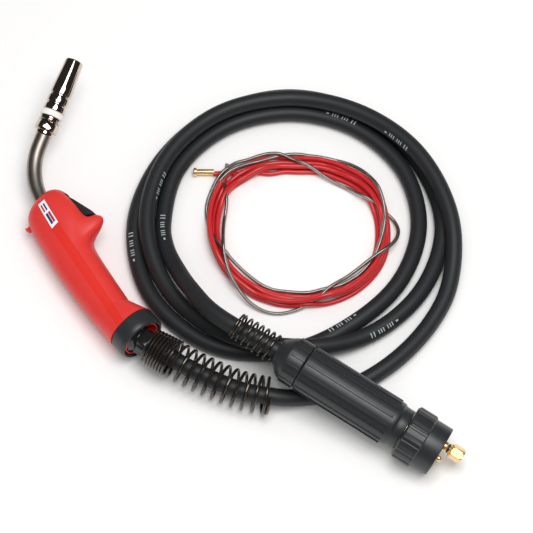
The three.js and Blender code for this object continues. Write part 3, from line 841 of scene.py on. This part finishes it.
# ---------- Swan neck and front end ----------
def neck_line(start, beyond):
    """The neck's middle line in the handpiece's axes: straight, one bend, straight."""
    points = [Vector((NECK_X, start, 0)), Vector((NECK_X, BEND_START, 0))]
    for i in range(1, 25):
        a = BEND * i / 24
        x = NECK_X + BEND_RADIUS * (1 - math.cos(a))
        points.append(Vector((x, BEND_START + BEND_RADIUS * math.sin(a), 0)))
    ahead = Vector((math.sin(BEND), math.cos(BEND), 0))
    points.append(points[-1] + ahead * beyond)
    return [HAND @ p for p in points]


finish_piece(
    "neck_tube", tube(evenly(neck_line(56 * MM, 11 * MM), 2 * MM), 7.5 * MM, 48), NECK_STEEL, "torch",
    ["swan_neck"],
)
collar = turn([
    (6.4, 9.4), (8.4, 9.4), (8.9, 10.6), (8.9, 13.2), (8.2, 14), (8.2, 23.2), (6.4, 23.2),
], 64, 0.25)
hexagon = extrude_outline(
    [(12.1 * math.cos(i * math.pi / 3), 12.1 * math.sin(i * math.pi / 3)) for i in range(6)], 14.4, 23, 0.1,
)
nut = finish_piece("neck_nut_hexagon", hexagon, CHROME, "torch", ["neck_nut"])
cut("nut_chamfer", nut, turn([
    (0, 13), (10.4, 13), (11.5, 15.6), (11.5, 21), (10.6, 23.4), (0, 23.4),
], 64, 0.8, closed=False), "INTERSECT")
cut("nut_collar", nut, collar, "UNION")
nut.data.transform(NOSE)
nut.data.shade_smooth()
nut.data.set_sharp_from_angle(angle=math.radians(30))

seat = turn([
    (6.4, 23.5), (10.3, 23.5), (11, 24.2), (11.2, 25.2), (10.6, 26), (10.9, 26.6), (10.9, 28.3), (6.4, 28.3),
], 80, 0.3)
finish_piece("seat_ring", placed(seat, NOSE), CHROME, "torch", ["nozzle_seat"])
insulator = turn([
    (6.7, 28.6), (10.7, 28.6), (11.3, 29.1), (11.3, 31.2), (10.9, 31.6), (10.9, 32.2), (11.1, 32.6),
    (11, 34.2), (10.6, 34.6), (6.7, 34.6),
], 80, 0.3)
finish_piece("white_insulator", placed(insulator, NOSE), WHITE, "torch", ["nozzle_insulator"])
gas_nozzle = turn([
    (8.9, 34.9), (10.6, 34.9), (10.9, 35.3), (10.9, 40.6), (10.3, 41.4), (10.3, 42.6), (10.9, 43.4),
    (10.9, 50), (10.2, 50.8), (10.2, 52), (10.8, 52.8), (10.7, 60), (10.3, 66.5), (9.7, 75), (9.1, 88.3),
    (8.7, 89.3), (8.2, 89.6), (7.7, 89.2), (7.6, 74), (8.8, 68),
], 96, 0.35)
finish_piece("chrome_nozzle", placed(gas_nozzle, NOSE), CHROME, "nozzle", ["gas_nozzle"])
contact_tip = turn([
    (0.7, 54), (2.1, 54), (2.1, 62.4), (4, 62.6), (4, 66), (3.6, 66.4), (3.6, 70), (4, 70.4), (4, 80),
    (2.9, 86.3), (0.8, 86.4),
], 48, 0.15)
finish_piece("copper_tip", placed(contact_tip, NOSE), COPPER, "tip", ["contact_tip"])


# ---------- Plug ----------
def around(count, radius, make):
    """Copies of a small piece set round Z. Each is drawn at the origin, with X facing outwards."""
    parts = []
    for i in range(count):
        spin = Matrix.Rotation(2 * math.pi * i / count, 4, "Z") @ Matrix.Translation((radius * MM, 0, 0))
        parts.append(placed(make(), spin))
    return join(*parts)


def rib(width, low, high, height, bevel):
    """A raised rib that runs along Z, its edges rounded."""
    half = width / 2
    outline = [(-1.2, -half), (height, -half), (height, half), (-1.2, half)]
    return extrude_outline(outline, low, high, bevel, 3)


RIB_COUNT = 14
rear_nut = turn([
    (8.6, -145), (11.6, -145), (12.6, -144.3), (13.4, -142.6), (15.6, -140.4), (19, -136.4), (20.6, -133.4),
    (20.7, -132), (20.8, -131), (20.8, -119.2), (20.4, -118), (8.6, -117.9),
], 112, 0.5)
rear_ribs = around(RIB_COUNT, 20.7, lambda: rib(2.1, -132, -118.3, 1.4, 0.22))
finish_piece("rear_cap", placed(join(rear_nut, rear_ribs), PLUG), BLACK, "torch",
             ["plug_rear_nut"])
housing = turn([
    (15, -117.4), (20.2, -117.4), (20.7, -116.4), (20.8, -112), (20.8, -30), (21, -24.5), (20.6, -21.9),
    (19.4, -20.6), (19.2, -18), (19.2, -11.7), (15, -11.7),
], 112, 0.4)
housing_ribs = around(RIB_COUNT, 20.7, lambda: rib(2.3, -115.8, -26.2, 1.45, 0.22))
finish_piece("plug_sleeve", placed(join(housing, housing_ribs), PLUG), BLACK, "torch",
             ["plug_housing"])

LOBES = 12
# One lobe of the nut: share of the lobe's angle, and radius.
NUT_LOBE = [
    (-0.34, 25.3), (0, 25.45), (0.31, 25.4), (0.325, 26.1), (0.435, 26.1), (0.45, 24.9), (0.62, 24.9),
]


def nut_outline():
    """The Euro nut's section: flat lobes, each ending in a narrow raised ridge with a groove beside it."""
    points = []
    for i in range(LOBES):
        for share, radius in NUT_LOBE:
            a = 2 * math.pi * (i + share) / LOBES
            points.append((radius * math.cos(a), radius * math.sin(a)))
    return points


euro_band = finish_piece(
    "euro_nut_grip", extrude_outline(nut_outline(), -11.4, 8.4, 0.25), BLACK, "euro_nut",
    ["euro_nut"],
)
cut("nut_rims", euro_band, turn([
    (0, -11.5), (23.4, -11.5), (26.6, -8.6), (26.6, 6), (24.2, 8.5), (0, 8.5),
], 96, 0, closed=False), "INTERSECT")
cut("nut_sleeve", euro_band, turn([(15, 4), (23.1, 4), (23.6, 9), (23.6, 24), (23.2, 24.6), (22, 24.6),
                                   (21.6, 24.1), (21.5, 5), (15, 5)], 96, 0.2), "UNION")
cut("nut_bore", euro_band, turn([(0, -12), (16.6, -12), (16.6, 7.8), (21.5, 7.8), (21.5, 9), (0, 9)], 96, 0,
                                closed=False))
euro_band.data.transform(PLUG)
euro_band.data.shade_smooth()
euro_band.data.set_sharp_from_angle(angle=math.radians(30))

PIN_OFFSET, CONTACT_X, CONTACT_Y = 7 * MM, -5.2 * MM, 5.5 * MM
flange = finish_piece("brass_flange", turn([
    (0, -30), (12, -30), (12, -24.5), (14.7, -24.5), (14.7, -9), (16, -9), (16, 8), (20.4, 8), (20.4, 23),
    (20, 23.4), (18.8, 23.4), (18.6, 22.8), (17.4, 22.8), (17.2, 23.4), (0, 23.4),
], 96, 0, closed=False), BRASS, "torch", ["plug_body"])
for side in (1, -1):
    hole = turn([(0, 12), (2.4, 12), (2.4, 21), (3.1, 21), (3.1, 26), (0, 26)], 32, 0, closed=False)
    cut("contact_hole", flange, placed(hole, Matrix.Translation((CONTACT_X, side * CONTACT_Y, 0))))
flange.data.transform(PLUG)
flange.data.shade_smooth()
flange.data.set_sharp_from_angle(angle=math.radians(30))

PIN = PLUG @ Matrix.Translation((PIN_OFFSET, 0, 0))
stem = turn([
    (1.7, 23.5), (5.1, 23.5), (5.3, 23.8), (5.1, 24.4), (5.1, 27.4), (4.4, 28.2), (3.1, 28.8),
    (3.1, 31.4), (1.7, 31.4),
], 56, 0.15)
finish_piece("centre_pin", placed(stem, PIN), BRASS, "torch", ["plug_pin"])
hexagon = extrude_outline(
    [(7.1 * math.cos(i * math.pi / 3), 7.1 * math.sin(i * math.pi / 3)) for i in range(6)], 30.8, 44.3, 0.1,
)
liner_nut = finish_piece("liner_nut_hexagon", hexagon, BRASS, "liner_nut", ["liner_nut"])
cut("nut_barrel", liner_nut, turn([
    (0, 30.7), (5, 30.7), (6.9, 33.6), (7.2, 36), (7.2, 41), (6.2, 44.3), (0, 44.3),
], 64, 0.4, closed=False), "INTERSECT")
cut("nut_hole", liner_nut, turn([(0, 30), (3.6, 30), (3.6, 38), (1.7, 38.6), (1.7, 46), (0, 46)], 40, 0,
                                closed=False))
liner_nut.data.transform(PIN)
liner_nut.data.shade_smooth()
liner_nut.data.set_sharp_from_angle(angle=math.radians(26))
for number, side in ((1, 1), (2, -1)):
    contact = turn([
        (0, 15.3), (2.1, 15.3), (2.1, 24.3), (2.7, 25.2), (2.7, 27.5), (1.7, 29.2), (0, 29.6),
    ], 36, 0.25, closed=False)
    place = PLUG @ Matrix.Translation((CONTACT_X, side * CONTACT_Y, 0))
    finish_piece(f"trigger_contact_{number}", placed(contact, place), BRASS, f"contact_{number}",
                 [f"contact_pin_{number}"])


# ---------- Spare liner ----------
LINER_CENTRE = TABLE + Vector((0.0335, 0.040, 0))
SHEATH_RADIUS, WIRE_COIL_RADIUS = 2.4 * MM, 1.85 * MM
# Middle of the red band and how far its strands spread, every 30 degrees from the +X side.
BAND_RADII = [80, 78.5, 73.5, 72, 79, 85.5, 84, 83.5, 81.5, 79.5, 81.5, 82]
BAND_SPREAD = [1.15, 1.1, 1.15, 1.35, 1.5, 1.15, 1, 1, 1.2, 1.3, 1.1, 1]
LANES = [-7.4, -3.2, 1, 5.2, -5, 6.3]
LEAD = [(-85.5, 60.3), (-73.5, 60.5), (-60, 60.5), (-47.5, 62.5)]
SPIRAL = [
    (143, 91.2), (135.8, 88.5), (122, 84.6), (108.8, 82), (90.4, 82), (72.3, 83.1), (56.4, 84), (41, 83.8),
    (28.9, 83.1), (14.7, 81.2), (2, 79.5), (-12.3, 77.4), (-26.1, 76.8), (-41.3, 75.1), (-55.9, 73),
    (-71.3, 71.6), (-87.1, 71.4), (-114.3, 71.5), (-131.9, 73), (-146.9, 76.4), (-154.5, 78.6), (-175, 87),
    (-195.6, 94.8), (-212.3, 96.8), (-221, 95.9), (-230.4, 95.2), (-246.6, 88.1), (-257.2, 80.3),
    (-273.1, 67.6), (-294.3, 60.4), (-316.6, 63.2), (-329.8, 67.4), (-342, 77), (-353.5, 88.6),
    (-362.3, 92.6), (-369.4, 91.3), (-377.6, 86), (-398.5, 72.6), (-413.7, 69.3), (-426.7, 71.8),
    (-443, 81), (-460.7, 92.2), (-469.7, 95.4), (-480.6, 95.4), (-490.5, 91.8), (-500.6, 88),
    (-512.1, 82.6), (-525.3, 77.1), (-542.1, 74.2), (-558.4, 75.8), (-572, 87), (-585.2, 102.5),
]
SPIRAL_UNDER = [(-200, -158), (-356, -334), (-466, -430), (-590, -562)]


def around_liner(degrees, radius):
    a = math.radians(degrees)
    return LINER_CENTRE + Vector((radius * math.cos(a), radius * math.sin(a), 0)) * MM


def from_ring(values, degrees):
    """A smoothly varying value out of a list that goes round the circle."""
    place = degrees / 30 % 12
    i = int(place)
    t = place - i
    t = t * t * (3 - 2 * t)
    return values[i] * (1 - t) + values[(i + 1) % 12] * t


def sheath_points():
    """The red sheath seen from above: the lead, then five clockwise turns that drift from lane to lane."""
    points = [LINER_CENTRE + Vector((x, y, 0)) * MM for x, y in LEAD]
    start, finish = 116, 148.5 - 5 * 360
    steps = 150
    for i in range(steps + 1):
        degrees = start + (finish - start) * i / steps
        turns = (start - degrees) / 360
        lane = LANES[int(turns)] + (LANES[int(turns) + 1] - LANES[int(turns)]) * (turns % 1)
        wander = 0.4 * math.sin(turns * 11.3) + 0.2 * math.sin(turns * 23.7 + 1)
        radius = from_ring(BAND_RADII, degrees) + (lane + wander) * from_ring(BAND_SPREAD, degrees)
        points.append(around_liner(degrees, radius))
    return points


def settle(line, radius, laid, fixed=None, gap=0.12 * MM, slope=0.30):
    """Lifts a strand over what it crosses: earlier strands, and its own earlier turns."""
    step = distances(line)[-1] / (len(line) - 1)
    apart = round(28 * MM / step)
    heights = [radius] * len(line)
    own = KDTree(len(line))
    for i, p in enumerate(line):
        own.insert((p.x, p.y, 0), i)
    own.balance()
    others = KDTree(max(len(laid), 1))
    for i, (p, _) in enumerate(laid):
        others.insert((p.x, p.y, 0), i)
    others.balance()
    touching = []
    widest = max([r for _, r in laid], default=radius)
    for i, p in enumerate(line):
        if fixed and fixed[i]:
            touching.append(([], []))
            continue
        near = [(j, d) for _, j, d in own.find_range((p.x, p.y, 0), 2 * radius) if j < i - apart]
        far = [(j, d) for _, j, d in others.find_range((p.x, p.y, 0), radius + widest)] if laid else []
        touching.append((near, far))
    for _ in range(7):
        needed = []
        for i, (near, far) in enumerate(touching):
            height = radius
            for j, d in near:
                height = max(height, heights[j] + lift(2 * radius, d) + gap)
            for j, d in far:
                point, other = laid[j]
                height = max(height, point.z + lift(radius + other, d) + gap)
            needed.append(height)
        for i in range(1, len(needed)):
            needed[i] = max(needed[i], needed[i - 1] - slope * step)
        for i in range(len(needed) - 2, -1, -1):
            needed[i] = max(needed[i], needed[i + 1] - slope * step)
        heights = needed
    reach = round(5 * MM / step)
    result = []
    for i, p in enumerate(line):
        window = heights[max(0, i - reach):i + reach + 1]
        result.append(Vector((p.x, p.y, max(radius, sum(window) / len(window)))))
    return result


def lift(contact, sideways):
    return math.sqrt(max(contact * contact - sideways * sideways, 0))


def is_under(degrees):
    return any(low <= degrees <= high for low, high in SPIRAL_UNDER)


sheath_plan = evenly(smooth_line(sheath_points(), 6), 2 * MM)
spiral_keys = [around_liner(148.5, 92.8), *[around_liner(a, r) for a, r in SPIRAL]]
spiral_plan = evenly(smooth_line(spiral_keys, 20), 1.5 * MM)


def spiral_angles():
    """The angle of each point of the spiral, counted on past each full turn."""
    result, last = [], 148.5
    for p in spiral_plan:
        degrees = math.degrees(math.atan2(p.y - LINER_CENTRE.y, p.x - LINER_CENTRE.x))
        last = degrees + 360 * round((last - degrees) / 360)
        result.append(last)
    return result


under = [is_under(a) for a in spiral_angles()]
floor_wires = [
    (Vector((p.x, p.y, WIRE_COIL_RADIUS)), WIRE_COIL_RADIUS) for p, low in zip(spiral_plan, under) if low
]
sheath_line = settle(sheath_plan, SHEATH_RADIUS, floor_wires)
spiral_line = settle(spiral_plan, WIRE_COIL_RADIUS, [(p, SHEATH_RADIUS) for p in sheath_line[:-12]], under)
COLLET_HEIGHT = 4.3 * MM
for i in range(12):
    sheath_line[i].z = max(sheath_line[i].z, COLLET_HEIGHT + (sheath_line[12].z - COLLET_HEIGHT) * i / 12)
rise = sheath_line[-1].z - spiral_line[0].z
for i in range(16):
    spiral_line[i].z += rise * (1 - i / 16)

sheath_line = evenly(sheath_line, 2 * MM)
spiral_line = evenly(smooth_line(spiral_line, 6), 0.26 * MM)
sheath = finish_piece("liner_sheath", tube(sheath_line, SHEATH_RADIUS, 20), LINER_RED, "liner",
                      ["liner_coil", "liner_lead"])
WIRE_PITCH = 1.05 * MM


def wire_ridge(along, angle):
    return (math.cos(2 * math.pi * along / WIRE_PITCH - angle) - 1) * 0.11 * MM


spiral = finish_piece(
    "liner_spiral", tube(spiral_line, WIRE_COIL_RADIUS, 10, wire_ridge), LINER_WIRE, "liner",
    ["liner_spiral_coil"], sharp=75,
)
COLLET = axes(
    LINER_CENTRE + Vector((-85.2, 62, 4.3)) * MM, Vector((0, 1, 0)), Vector((0, 0, -1)), Vector((-1, 0, 0)),
)
collet = turn([
    (0, -0.5), (2.9, -0.5), (3, 0), (3, 15), (2.8, 15.4), (2.8, 16), (4.1, 16.3), (4.2, 16.8), (4.2, 19),
    (3.9, 19.5), (1.4, 19.5), (1.2, 17.5), (0, 17.5),
], 48, 0.12, closed=False)
finish_piece("liner_end_collet", placed(collet, COLLET), BRASS, "liner", ["liner_collet"])

# ---------- Finishes of the pieces that stay as they are ----------
SLOT_FINISHES = {
    "red_plastic": RED, "black_plastic": SATIN_BLACK, "rubber": RUBBER, "chrome": CHROME, "steel": STEEL,
    "spring_steel": SPRING, "brass": BRASS, "copper": COPPER, "ceramic": WHITE, "red_sheath": LINER_RED,
}
for subpart in frame["record"]["subparts"]:
    node = bpy.data.objects.get(subpart["node"])
    if node:
        for material_slot in node.material_slots:
            material_slot.material = SLOT_FINISHES[subpart["material_slot"]]


# ---------- Floor and light ----------
def make_floor():
    finish = Finish("floor_paper", (0.90, 0.895, 0.885), 0.8, specular=0.15)
    finish.vary(4, 0.006)
    bm = bmesh.new()
    bmesh.ops.create_grid(bm, x_segments=8, y_segments=8, size=3)
    mesh = bpy.data.meshes.new("floor")
    bm.to_mesh(mesh)
    bm.free()
    mesh.materials.append(finish.material)
    floor = bpy.data.objects.new("floor", mesh)
    bpy.context.scene.collection.objects.link(floor)


def make_softbox(name, place, size, energy, color=(1, 1, 1)):
    data = bpy.data.lights.new(name, "AREA")
    data.shape = "RECTANGLE"
    data.size, data.size_y = size
    data.energy = energy
    data.color = color
    light = bpy.data.objects.new(name, data)
    bpy.context.scene.collection.objects.link(light)
    light.location = place
    light.rotation_euler = (TABLE - place).to_track_quat("-Z", "Y").to_euler()


def make_world():
    """Even pale light for the diffuse surfaces, with darker surroundings for the shiny ones to mirror."""
    world = bpy.data.worlds.new("studio")
    world.use_nodes = True
    nodes, links = world.node_tree.nodes, world.node_tree.links
    background = nodes["Background"]
    background.inputs["Color"].default_value = (1, 1, 1, 1)
    path = nodes.new("ShaderNodeLightPath")
    strength = nodes.new("ShaderNodeMapRange")
    strength.inputs["To Min"].default_value = 0.60
    strength.inputs["To Max"].default_value = 0.03
    links.new(path.outputs["Is Glossy Ray"], strength.inputs["Value"])
    links.new(strength.outputs["Result"], background.inputs["Strength"])
    bpy.context.scene.world = world


make_floor()
make_world()
make_softbox("key", TABLE + Vector((0.20, -0.22, 1.52)), (0.90, 0.90), 17)
bpy.context.scene.view_settings.view_transform = "Standard"
